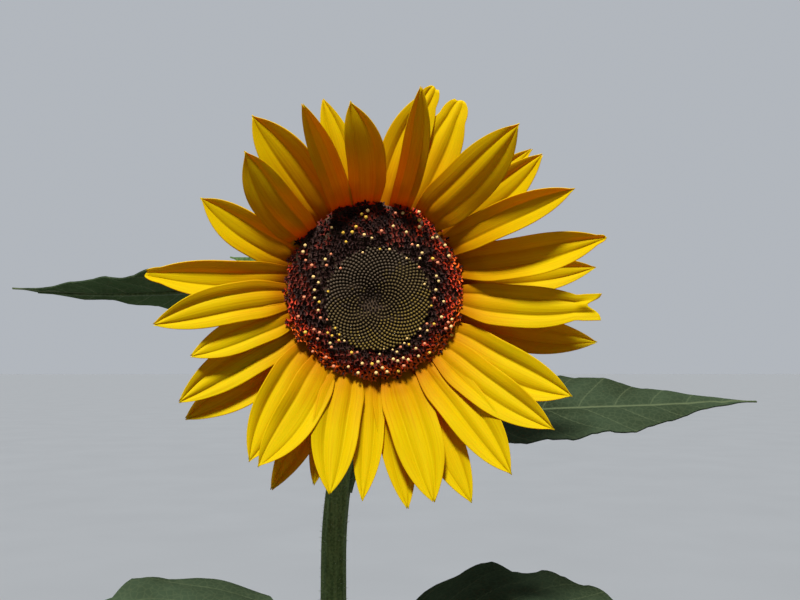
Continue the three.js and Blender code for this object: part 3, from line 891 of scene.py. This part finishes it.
def midrib_of(leaf, stem, stem_radii):
    """A leaf's midrib from inside the stem's skin to its tip: distances, places, ways, sides and ups."""
    height = leaf["height"]
    reach = np.argmax(stem[:, 2] > height)
    share = (height - stem[reach - 1, 2]) / (stem[reach, 2] - stem[reach - 1, 2])
    turn = math.radians(leaf["turn"])
    out = np.array([math.cos(turn), math.sin(turn), 0.0])
    place = mix(stem[reach - 1], stem[reach], share) + out * (stem_radii[reach] - STALK_SEAT)
    total = leaf["stalk"] + leaf["length"]
    rows = []
    for i in range(LEAF_STATIONS + 1):
        along = total * i / LEAF_STATIONS
        on_stalk = min(1, along / leaf["stalk"])
        on_blade = max(0, (along - leaf["stalk"]) / leaf["length"])
        slope = mix(leaf["rise"], leaf["from"], on_stalk)
        if on_blade > 0:
            slope = mix(leaf["from"], leaf["to"], on_blade**DROOP_EASE)
        bent = math.radians(slope)
        way = out * math.cos(bent) + np.array([0, 0, math.sin(bent)])
        roll = math.radians(leaf["roll"]) * on_stalk
        side = turned_about(np.array([math.sin(turn), -math.cos(turn), 0.0]), way, roll)
        rows.append(np.concatenate([[along], place, way, side, np.cross(side, way)]))
        place = place + way * total / LEAF_STATIONS
    return np.array(rows)


def on_midrib(rows, along):
    """Places, ways, sides and ups at distances along a midrib."""
    columns = [np.interp(along, rows[:, 0], rows[:, k]) for k in range(1, 13)]
    return [np.stack(columns[k : k + 3], axis=-1) for k in (0, 3, 6, 9)]


def leaf_half(leaf, v):
    """Half a leaf's width at v, broad at the base on a heart and narrow on a lance."""
    widest = mix(*WIDEST_AT, leaf["heart"])
    swell = mix(mix(*BASE_SHARES, leaf["heart"]), 1, np.sin(math.pi * 0.5 * np.minimum(1, v / widest)))
    past = np.maximum(0, (v - widest) / (1 - widest))
    point = np.cos(math.pi * 0.5 * past) ** TIP_EASE
    return np.maximum(leaf["width"] / 2 * swell * point, LEAF_TIP)


def veins_passed(leaf, half, across, v):
    """How many side veins lie between the blade's base and a place on it. They slant and curve forward."""
    slant = VEIN_SLANT + VEIN_CURVE * across / half
    return VEIN_PAIRS * (v - across / leaf["length"] * slant)


def blade_lift(leaf, number, half, across, veins, u, v):
    """How far a place on the blade stands off its midrib.

    The blade folds up, its edge waves and ruffles, and it is quilted between the veins, with a channel
    along the midrib.
    """
    length = leaf["length"]
    lag = np.where(u > 0, 1.4, 0) + math.radians(leaf["turn"])
    wave = EDGE_WAVE * half * u * u * np.sin(v * EDGE_WAVES + lag)
    ruffle = RUFFLE * half * np.abs(u) ** 3 * np.sin(v * RUFFLES + np.sign(u) * 2 + number)
    ripple = np.abs(np.sin(math.pi * veins)) ** 0.7 - 0.5
    quilt = QUILT * length * ripple * smooth(np.abs(u), 0.0, 0.25) * smooth(np.abs(u), 1.05, 0.7)
    channel = -CHANNEL * length * np.exp(-((across / CHANNEL_WIDTH) ** 2)) * smooth(v, 1.0, 0.6)
    folded = across * math.sin(math.radians(leaf["fold"]))
    return folded + wave + ruffle + (quilt + channel) * smooth(v, 1.0, 0.85)


def lay_blade(leaf, rows, u, v, number):
    """Where a leaf's grid goes, and its UV map: distance from the midrib and the count of veins."""
    place, way, side, up = on_midrib(rows, leaf["stalk"] + leaf["length"] * v)
    half = leaf_half(leaf, v)
    teeth = round(leaf["length"] / TOOTH_SPACING)
    tooth = TOOTH * (1 - (v * teeth) % 1.0) * smooth(v, 0.03, 0.2) * smooth(v, 1.0, 0.9)
    wide = half * u * (1 + tooth * np.abs(u) ** 8)
    across = np.abs(wide)
    veins = veins_passed(leaf, half, across, v)
    lift = blade_lift(leaf, number, half, across, veins, u, v)
    lobe = leaf["length"] * LOBE_SHARE * leaf["heart"] * u * u * (1 - v) ** 4
    points = (
        place
        + side * (wide * math.cos(math.radians(leaf["fold"])))[:, None]
        + up * lift[:, None]
        - way * lobe[:, None]
    )
    return points, np.stack([0.5 + wide / UV_SPAN, (veins + UV_FIRST_VEIN) / UV_VEINS], axis=1)


def stalk_line(leaf, rows):
    """The centre line of a leaf's stalk and midrib, its radii, and the distance that it reaches."""
    stalk = leaf["stalk"]
    reach = stalk + MIDRIB_REACH * leaf["length"]
    along = np.linspace(0, reach, STALK_STATIONS)
    place, _, _, up = on_midrib(rows, along)
    radii = mix(leaf["width"] * STALK_ROOT_SHARE + STALK_ROOT, STALK_END, (along / reach) ** 0.9)
    sink = radii * MIDRIB_SINK * smooth(along, stalk * 0.8, stalk * 1.1)
    drop = MIDRIB_DROP * leaf["length"] * smooth(along, stalk, stalk * 1.3)
    return place - up * (sink + drop)[:, None], radii, reach


def make_leaf(number, leaf, stem, stem_radii, skins):
    """A leaf: a veined blade with a toothed edge, on a stalk that runs on under it as its midrib."""
    rows = midrib_of(leaf, stem, stem_radii)
    name = f"foliage_{number + 1:02d}"
    blade, u, v = blade_grid(name, LEAF_ACROSS, LEAF_ALONG)
    points, uv = lay_blade(leaf, rows, u, v, number)
    lay(blade, points)
    set_uv(blade, uv)
    for material in skins[:2]:
        blade.data.materials.append(material)
    finish_with(blade, "SOLIDIFY", thickness=LEAF_THICKNESS * MM, offset=-1, material_offset=1)
    centre, radii, reach = stalk_line(leaf, rows)
    stalk = limb(name + "_stalk", centre, radii, 5, 0.06, 15)
    stalk.data.materials.append(skins[2])
    leaf_piece = join([blade, stalk], name)
    dress(leaf_piece, [], angle=75)
    set_down(leaf_piece, "leaf", f"leaf_{number + 1:02d}")
    return centre, radii, leaf["stalk"] / reach


def make_leaves(skins, bristle):
    """Every leaf on the stem, and the bristles on their stalks as one piece."""
    stem, radii = stem_line()
    hairs = []
    for number, leaf in enumerate(leaf_rows()):
        line, widths, joint = make_leaf(number, leaf, stem, radii, skins)
        stretch = (0.03, joint * 1.1)
        hairs.append(bristles("stalk_bristles", line, widths, BRISTLES_ON_STALK, bristle, *stretch))
    set_down(join(hairs, "stalk_bristles"), "leaf")


# The flower head


def petal_half(number, width, v):
    """Half a ray petal's width at v, from its narrow root to its pointed, blunt or forked tip."""
    swell = mix(ROOT_WIDTH / width, 1, smooth(v, -0.08, ROOT_SPREAD))
    past = np.clip((v - POINT_FROM) / (1 - POINT_FROM), 0, 1)
    point = np.where(v < POINT_FROM, 1, (1 - past**2.2) ** 0.9)
    rounding = np.sqrt(1 - 0.8 * np.clip((v - ROUND_FROM) / (1 - ROUND_FROM), 0, 1) ** 2)
    blunt = BLUNT_TIPS.get(number, 0) * smooth(v, POINT_FROM, BLUNT_FULL) * rounding
    half = np.maximum(np.maximum(width / 2 * swell * point, blunt), PETAL_TIP)
    if number == FORKED_PETAL:
        half = np.maximum(half, FORK_HALF * smooth(v, 0.6, 0.9))
    return half


def above_share(turn):
    """How far up the head a petal points: 1 straight up, and 0 to the sides and below."""
    return math.sqrt(max(0, math.sin(math.radians(turn))))


def petal_depth(petal, length, v):
    """The depth of a petal's middle line, which leans and bows forward and may curl at its tip."""
    above = above_share(petal["tip"])
    upper = above * (1 - petal["layer"] / 2)
    lean = FRONT_LEAN - LAYER_LEAN * petal["layer"] + UPPER_LEAN * upper
    rise = length * math.tan(math.radians(lean))
    bow = 1 + mix(LOWER_BOW, UPPER_BOW, above) * (1 - v)
    root = FRONT_DEPTH - LAYER_DEPTH * petal["layer"] - ROOT_DIP * upper
    return root + rise * v * bow * smooth(v, -0.05, ROOT_EASE) + petal["curl"] * v**4


def petal_relief(petal, chance, half, u, v):
    """How far a place on a petal's face stands off its middle line, before its twist."""
    body = np.sin(math.pi * np.clip(v, 0.02, 0.98)) ** 0.5
    off_groove = np.abs(np.abs(u) - GROOVE_PLACE - chance.uniform(-0.07, 0.07))
    grooves = chance.uniform(0.6, 1.2) * np.exp(-((off_groove / GROOVE_WIDTH) ** 2))
    grooves = grooves + CREASE * np.exp(-((off_groove / CREASE_WIDTH) ** 2))
    ribs = RIB_HEIGHT * np.cos(u * RIB_TURNS + chance.uniform(0, 6))
    ridge = RIDGE_HEIGHT * np.exp(-((u / RIDGE_WIDTH) ** 2))
    bulge = body * (ridge - GROOVE_DEPTH * grooves + ribs) * petal["width"] / USUAL_WIDTH
    keel = 0.7 * (np.sqrt(u * u + 0.012) - 0.11) + 0.3 * u * u
    frill = FRILL * half * u**2 * np.sin(v * chance.uniform(7, 12) + chance.uniform(0, 6) + np.sign(u))
    open_share = smooth(v, 0.0, 0.5)
    cupped = mix(ROOT_CUP, petal["cup"], open_share) * half * keel
    tilted = OVERLAP_TILT * half * u * (1 - smooth(v, 0.1, 0.75))
    return cupped + bulge + frill * open_share + tilted


def lay_petal(number, petal, u, v):
    """Where a ray petal's grid goes in the head's frame."""
    chance = random.Random(number)
    root = on_face(petal["root"]) * ROOT_RADIUS
    tip = on_face(petal["tip"]) * petal["reach"]
    length = np.linalg.norm(tip - root)
    way = (tip - root) / length
    side = np.array([way[1], -way[0], 0])
    half = petal_half(number, petal["width"], v)
    lift = petal_relief(petal, chance, half, u, v)
    turn = np.radians(petal["twist"]) * (v - TWIST_FROM) * smooth(v, 0.0, 0.5)
    sideways = half * u * np.cos(turn) - lift * np.sin(turn) * TWIST_SPREAD
    sideways = sideways + petal["bow"] * np.sin(math.pi * v)
    lift = lift * np.cos(turn) + half * u * np.sin(turn)
    along = length * v + 0.5 * np.sin(u * 3 + chance.uniform(0, 6)) * smooth(v, 0.8, 1)
    if number == FORKED_PETAL:
        along = along - FORK_DEPTH * np.exp(-(((u + 0.1) / FORK_WIDTH) ** 2)) * smooth(v, 0.82, 1)
    places = root + way * along[:, None] + side * sideways[:, None]
    places[:, 2] = petal_depth(petal, length, v) + lift
    return places


def make_petals(tissue):
    """The ray petals. Each has its own part of the vein pattern, as its number shifts its UV map."""
    for number, row in enumerate(PETALS):
        petal = dict(zip(PETAL_KEYS, row))
        blade, u, v = blade_grid(f"ray_{number + 1:02d}", PETAL_ACROSS, PETAL_ALONG)
        lay(blade, from_head(lay_petal(number, petal, u, v)))
        # The orange root colour reaches further out on the upper petals, as painted shade
        orange = 1 - PAINTED_SHADE_REACH * above_share(petal["tip"])
        set_uv(blade, np.stack([(u + 1) / 2 + number, v * orange], axis=1))
        finish_with(blade, "SOLIDIFY", thickness=PETAL_THICKNESS * MM, offset=0)
        dress(blade, [tissue])
        set_down(blade, "petal", f"ray_petal_{number + 1:02d}")


def dome_top(radius):
    """The height of the dome of buds at a radius, without its dimple."""
    return DISC_FLOOR + BUD_HEIGHT * (1 - 0.2 * radius / BUD_RADIUS)


def dimple(off_middle):
    """The depth of the buds' dimple at a distance from its middle."""
    return BUD_DIMPLE * math.exp(-((4 * off_middle / BUD_RADIUS) ** 2))


def bud_edge(turn):
    """The radius where buds give way to open florets, which have opened furthest in above the middle."""
    shift = EDGE_ABOVE * math.sin(math.radians(turn)) + EDGE_ASIDE * math.cos(math.radians(turn))
    return EDGE_RADIUS + shift


def ring_top(share):
    """The height of the open florets, from the edge of the buds at 0 to the outer edge at 1."""
    return float(np.interp(share, RING_SHARES, RING_HEIGHTS))


def spiral(spacing, inner, outer):
    """The sunflower's own spiral: the angle and radius of each floret between two radii."""
    first = max(math.ceil((inner / spacing) ** 2), 1)
    last = math.floor((outer / spacing) ** 2)
    return [(n * GOLDEN_TURN % 360, spacing * math.sqrt(n)) for n in range(first, last)]


def head_copy(turn, radius, depth, lean, size, tints):
    """A copy for scatter, standing on the disc and leaning outwards."""
    out = on_face(turn)
    up = out * math.sin(math.radians(lean)) + np.array([0, 0, math.cos(math.radians(lean))])
    place = out * radius + np.array([0, 0, depth])
    axes = np.array([HEAD_RIGHT, HEAD_UP, HEAD_FACING])
    return from_head(place[None])[0], up @ axes, out @ axes, size, tints


def bud_tint(turn, open_share):
    """The number of a cap's material: hooded in the middle, and yellower and brighter towards the lower
    right and greyer towards the upper left, as painted light and shade.
    """
    high = on_face(turn) @ np.array([-0.5, 0.85, 0]) * open_share + random.uniform(-0.15, 0.15)
    if open_share < random.uniform(0.1, 0.24):
        return 4
    if high < -0.45:
        return 1
    return 2 if high < 0.1 else 3


def make_buds(dark, tips):
    """The middle of the disc: closed buds with pale olive caps over a near black bed."""
    profile = []
    for radius in np.linspace(0, BUD_RADIUS, 15):
        profile.append((radius, dome_top(radius) - dimple(radius) - BUD_STAND))
    bed = spun("bud_bed", [*profile, (BUD_RADIUS, DISC_FLOOR), (0, DISC_FLOOR)], BED_STEPS)
    dress(bed, [dark])
    husk = turned_shape([(0.7, -2.8, 0), (0.68, 0.3, 0), (0.5, 0.6, 0)], 6, 0)
    cap = turned_shape([(0.5, 0.5, 0), (0.5, 0.8, 0), (0.2, 1.1, 0)], 6, 1)
    copies = []
    for spiral_turn, off_middle in spiral(BUD_SPACING, 0, BUD_RADIUS - SPIRAL_MIDDLE[1]):
        across, up, _ = on_face(spiral_turn) * off_middle + SPIRAL_MIDDLE
        turn = math.degrees(math.atan2(up, across))
        radius = math.hypot(across, up)
        if radius > min(BUD_RADIUS - GAP, bud_edge(turn) + random.uniform(-0.4, 0.8)):
            continue
        open_share = off_middle / BUD_RADIUS
        size = mix(*BUD_SIZES, min(1, open_share * 1.6))
        depth = dome_top(radius) - dimple(off_middle) - 0.5
        tints = [0, bud_tint(turn, open_share)]
        copies.append(head_copy(turn, radius, depth, BUD_LEAN * open_share, size, tints))
    buds = scatter("bud_caps", shapes_together([husk, cap]), copies, [dark, *tips])
    set_down(join([bed, buds], "bud_florets"), "disc_bud", "disc_buds")


def floret_height(radius, share):
    """The height of an open floret, which stands above the buds where it reaches in among them."""
    if radius < BUD_RADIUS:
        return max(ring_top(share), dome_top(radius) + 1.2)
    return ring_top(share)


def below_share(turn):
    """How far down the head a floret sits: 1 straight below the middle, and 0 to the sides and above."""
    return max(0, -math.sin(math.radians(turn)))


def floret_red(turn, share):
    """How red a floret is, from 0 to 1: redder towards the outer edge, and redder and brighter towards the
    lower right and below as painted light.
    """
    painted_sunlit_side = on_face(turn) @ np.array([0.6, -0.8, 0])
    red = 0.04 + 0.14 * share + (0.62 + 0.45 * painted_sunlit_side) * share**2 + 0.3 * below_share(turn) * share
    return red + random.uniform(-0.2, 0.2)


def shows_pollen(turn, share):
    """Whether a floret shows pollen: more of them do at the inner edge below the middle."""
    chance = np.interp(share, *zip(*POLLEN_SHARES)) + 0.2 * below_share(turn) * (1 - share)
    return random.random() < chance


def make_floret_bed(skin):
    """The ring that the open florets stand on."""
    inner = BUD_RADIUS + GAP
    profile = []
    for share in np.linspace(0, 1, 12):
        profile.append((mix(inner, FLORET_RADIUS - 0.6, share), ring_top(share) - 3.2))
    foot = [
        (FLORET_RADIUS - 0.8, DISC_FLOOR + 1.0),
        (RIM_RADIUS - 0.5, DISC_FLOOR),
        (inner, DISC_FLOOR),
    ]
    bed = spun("floret_bed", [*profile, *foot, profile[0]], SPIN_STEPS)
    dress(bed, [skin])
    return bed


def make_open_florets(bed_skin, maroons, dark, pollens):
    """The ring of open florets: five-lobed maroon tubes round dark columns, some tipped with pollen."""
    bed = make_floret_bed(bed_skin)
    tube = turned_shape(
        [(0.55, -1.2, 0), (0.75, 1.1, 0), (1.45, 2.1, 0.34), (0.6, 1.7, 0), (0.35, 1.2, 0)], 10, 0
    )
    column = turned_shape([(0.34, 1.0, 0), (0.42, 2.6, 0), (0.2, 3.1, 0)], 5, 1)
    tip = turned_shape([(0.32, 2.6, 0), (0.66, 3.0, 0), (0.62, 3.5, 0), (0.25, 3.8, 0)], 7, 2)
    skins = [dark, *maroons, *pollens]
    bare_copies = []
    tipped_copies = []
    for turn, radius in spiral(FLORET_SPACING, EDGE_RADIUS / 2, FLORET_RADIUS - 0.6):
        edge = bud_edge(turn)
        ragged = RAGGED_OUTSIDE if radius > FLORET_RADIUS - 3 else RAGGED_INSIDE
        radius = radius + random.uniform(-ragged, ragged)
        if radius < edge + random.uniform(-1.2, 0.6):
            continue
        share = min(max(0, radius - edge) / (FLORET_RADIUS - edge), 1)
        lean = mix(*FLORET_LEANS, share**1.2) + random.uniform(-10, 10)
        depth = floret_height(radius, share) - FLORET_STAND + random.uniform(-0.5, 0.5)
        maroon = 1 + int(np.clip(floret_red(turn, share) * 4, 0, 3))
        size = mix(*FLORET_SIZES, min(1, share * 2.5)) * random.uniform(0.88, 1.12)
        tints = [maroon, 1 if share > 0.8 else 0]
        if shows_pollen(turn, share):
            tints.append(5 + random.choice([0, 0, 1, 2]))
            tipped_copies.append(head_copy(turn, radius, depth + 0.5, lean, size, tints))
        else:
            bare_copies.append(head_copy(turn, radius, depth, lean, size, tints))
    florets = [
        bed,
        scatter("bare_florets", shapes_together([tube, column]), bare_copies, skins),
        scatter("pollen_florets", shapes_together([tube, column, tip]), tipped_copies, skins),
    ]
    set_down(join(florets, "open_florets"), "disc_floret", "disc_florets")


def make_receptacle(green):
    """The green dome between the stem and the rim, whose neck widens out of the stem."""
    profile = [
        (0, NECK_DEPTH - 0.1),
        (NECK_END_RADIUS * 0.96, NECK_DEPTH),
        (8.4, -21.6),
        (10.4, -19),
        (14.0, -16.6),
        (19.0, -14.4),
        (25.0, -12.0),
        (31.5, -9.2),
        (RIM_RADIUS, -6.6),
        (RIM_RADIUS, RIM_TOP - 1),
        (RIM_RADIUS - 1, RIM_TOP),
        (0, RIM_TOP),
    ]
    dome = spun("receptacle_dome", profile, SPIN_STEPS)
    dress(dome, [green], angle=50)
    set_down(dome, "bract", "receptacle")


def lay_bract(turn, length, lean, depth, u, v):
    """Where a bract's grid goes in the head's frame: a broad scale with a long drawn-out point."""
    swell = mix(0.8, 1, np.sin(math.pi * 0.5 * np.minimum(v * 2.4, 1)))
    half = np.maximum(BRACT_WIDTH / 2 * swell * (1 - v**1.3) ** 1.1, 0.3)
    out = RIM_RADIUS + 0.2 + length * v * math.cos(math.radians(lean))
    back = depth + length * math.sin(math.radians(lean)) * v**1.7 - 0.12 * half * u * u
    keel = 0.5 * np.exp(-((u / 0.2) ** 2)) * (1 - v)
    rim, side = on_face(turn), on_face(turn - 90)
    places = rim * out[:, None] + side * (half * u)[:, None]
    places[:, 2] = back - keel + 0.5 * np.sin(v * 7 + turn) * v
    return places


def make_bracts(green):
    """The bracts: three rows of green scales round the rim, on the ring that carries them."""
    inner = RIM_RADIUS + GAP
    ring = [(inner, -6.4), (inner + 2.6, -7.4), (inner + 3, -4.9), (inner, -4.8), (inner, -6.4)]
    pieces = [spun("bract_ring", ring, SPIN_STEPS)]
    for number, (count, length, lean, depth) in enumerate(BRACT_ROWS):
        for i in range(count):
            turn = 360 * (i + number * 0.5) / count
            scale, u, v = blade_grid("bract", BRACT_ACROSS, BRACT_ALONG)
            long = length * random.uniform(0.88, 1.04)
            lay(scale, from_head(lay_bract(turn, long, lean + random.uniform(-4, 4), depth, u, v)))
            finish_with(scale, "SOLIDIFY", thickness=BRACT_THICKNESS * MM, offset=0)
            pieces.append(scale)
    bracts = join(pieces, "bract_scales")
    dress(bracts, [green], angle=60)
    set_down(bracts, "bract", "bracts")


# Studio


def make_studio():
    """A pale floor, the room round it and the key light."""
    bpy.ops.object.select_all(action="DESELECT")
    bpy.ops.mesh.primitive_plane_add(size=FLOOR_SIZE, location=(0, 0, 0))
    floor = bpy.context.object
    floor.name = "studio_floor"
    floor.data.materials.append(pale_floor())
    bpy.context.scene.world = studio_room()
    bpy.context.scene.view_settings.view_transform = "Standard"
    add_light("key", KEY_PLACE, KEY_SIZE, KEY_POWER, KEY_SPREAD)


def studio_room():
    """The room: a pale backdrop behind the flower, a bright ceiling, and a darker side that it faces."""
    world = bpy.data.worlds.new("studio")
    world.use_nodes = True
    tree = world.node_tree
    room = tree.nodes["Background"]
    around = node(tree, "ShaderNodeTexCoord").outputs["Generated"]
    way = node(tree, "ShaderNodeSeparateXYZ", {0: around})
    glow = node(
        tree,
        "ShaderNodeMapRange",
        {0: way.outputs[1], 1: -0.4, 2: 0.7, 3: ROOM_FRONT, 4: ROOM_BACKDROP},
        interpolation_type="SMOOTHSTEP",
    ).outputs[0]
    ceiling = node(
        tree,
        "ShaderNodeMapRange",
        {0: way.outputs[2], 1: 0.4, 2: 1.0, 3: 0.0, 4: ROOM_CEILING},
        interpolation_type="SMOOTHSTEP",
    ).outputs[0]
    strength = node(tree, "ShaderNodeMath", {0: glow, 1: ceiling}, operation="ADD").outputs[0]
    room.inputs[0].default_value = linear("#DCE2EA")
    tree.links.new(strength, room.inputs[1])
    return world


def add_light(name, offset, size, power, spread):
    """A soft square light at an offset from the flower head, which points at it within a spread."""
    aim = HEAD_CENTRE * MM
    data = bpy.data.lights.new(name, "AREA")
    data.size = size
    data.energy = power
    data.spread = math.radians(spread)
    light = linked(name, data)
    light.location = aim + np.array(offset)
    light.rotation_euler = Vector(offset).to_track_quat("Z", "Y").to_euler()


def make_camera():
    """The camera, where the photo was taken from."""
    data = bpy.data.cameras.new("camera")
    data.lens = CAMERA_LENS
    data.sensor_width = SENSOR_WIDTH
    data.clip_start = 0.01
    camera = linked("camera", data)
    camera.location = (HEAD_CENTRE + HEAD_FACING * CAMERA_DISTANCE) * MM
    camera.rotation_euler = (math.pi / 2 + CAMERA_RISE, 0, CAMERA_TURN)
    bpy.context.scene.camera = camera


def main():
    stem_green = green_stalk("stem_matt_skin", "#6A7C48", "#44562A", 0.7)
    stalk_green = green_stalk("stalk_matt_skin", "#53653D", "#374723", 0.65)
    bract_green = green_stalk("bract_matt_skin", "#475D2F", "#293D19", 0.7)
    leaf_top = leaf_blade("leaf_upper_face", "#2D3828", "#20281A", "#5B6346", 0.4, 0.1)
    leaf_under = leaf_blade("leaf_lower_face", "#4A5E3D", "#3A4C2E", "#8C9172", 0.45, 0.1)
    bristle = plain_tissue("bristle_hair", "#A9B197", 0.6)
    make_stem(stem_green, bristle)
    make_leaves([leaf_top, leaf_under, stalk_green], bristle)
    make_receptacle(bract_green)
    make_bracts(bract_green)
    bud_dark = plain_tissue("bud_dark_husk", "#332618", 0.8)
    # Cap tones from bright to dark; the brighter ones go to the lower right as painted light and the grey
    # ones to the upper left as painted shade
    bud_tips = [
        plain_tissue("bud_cap_yellow_olive", "#574718", 0.7),
        plain_tissue("bud_cap_olive", "#463A1E", 0.7),
        plain_tissue("bud_cap_grey", "#3E3427", 0.7),
        plain_tissue("bud_cap_hooded", "#241B15", 0.7),
    ]
    make_buds(bud_dark, bud_tips)
    # Floret tones from dark to bright; the brightest go mostly to the lower right and below, as painted
    # light
    maroons = [
        plain_tissue("floret_brown", "#220E09", 0.75),
        plain_tissue("floret_maroon", "#4C160B", 0.75),
        plain_tissue("floret_red", "#96290F", 0.7),
        plain_tissue("floret_orange_red", "#C44F14", 0.7),
    ]
    pollens = [
        plain_tissue("pollen_cream", "#B1945D", 0.8),
        plain_tissue("pollen_yellow", "#AF8B2F", 0.8),
        plain_tissue("stigma_pink", "#A86647", 0.7),
    ]
    make_open_florets(bud_dark, maroons, plain_tissue("anther_dark", "#160C08", 0.6), pollens)
    make_petals(petal_tissue())
    make_studio()
    make_camera()


main()
